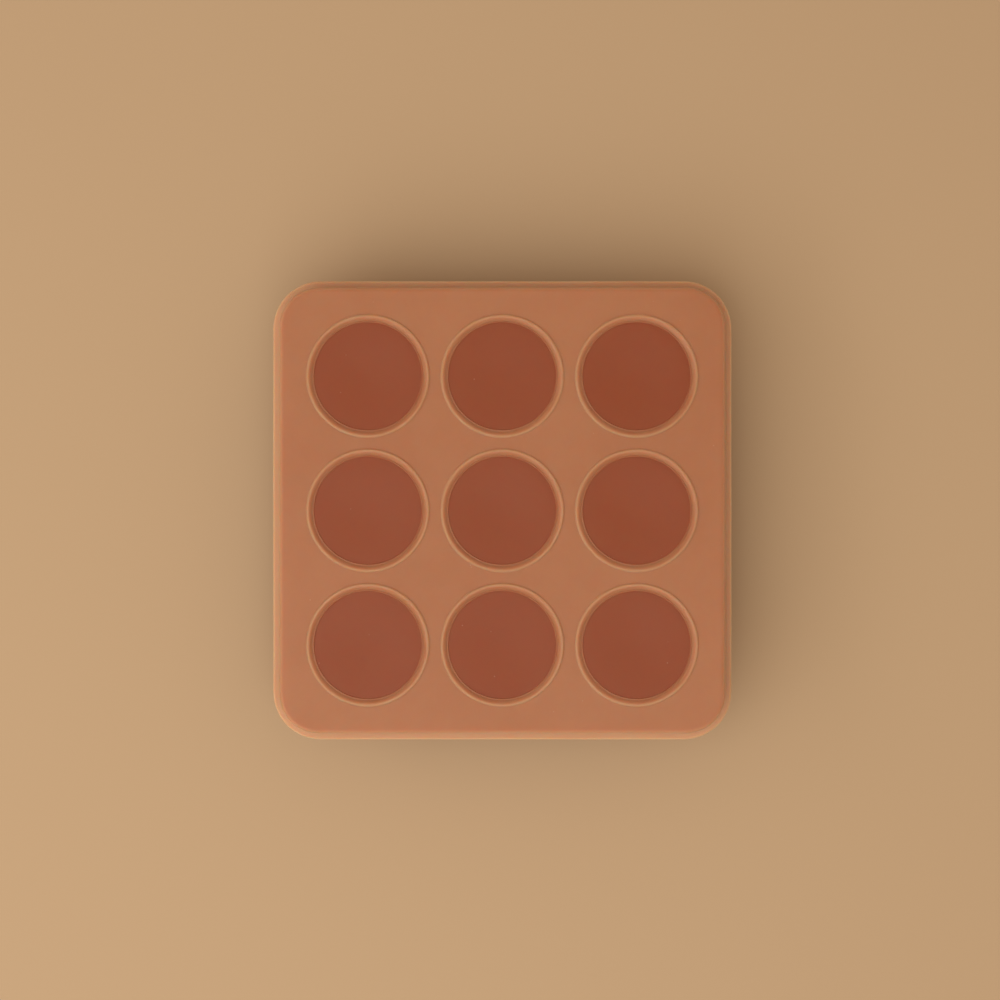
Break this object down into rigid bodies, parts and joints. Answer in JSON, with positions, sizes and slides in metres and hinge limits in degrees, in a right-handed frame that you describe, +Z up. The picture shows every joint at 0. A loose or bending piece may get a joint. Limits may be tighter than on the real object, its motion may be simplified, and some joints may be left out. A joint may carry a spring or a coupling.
{
  "type": "baby food freezer tray",
  "caption": "Square silicone freezer tray: a grid of round tapered cups for portions of baby food, under one lift-off translucent lid with a raised ring and a seal over each cup.",
  "frame": {"origin": "under the centre of the cup grid, on the surface that the cups stand on", "axes": "+Z up, the way the lid lifts; +X to the right and +Y to the top of the picture"},
  "size_m": [0.192, 0.192, 0.0451],
  "materials": {
    "tray_silicone": "matte",
    "lid_silicone": "matte"
  },
  "bodies": {
    "tray": {"tray": "tray_silicone"},
    "lid": {"lid": "lid_silicone"}
  },
  "joints": [
    {"name": "lid_lift", "type": "slide", "parent": "tray", "child": "lid", "axis": [0, 0, 1], "range_m": [0, 0.08]}
  ]
}
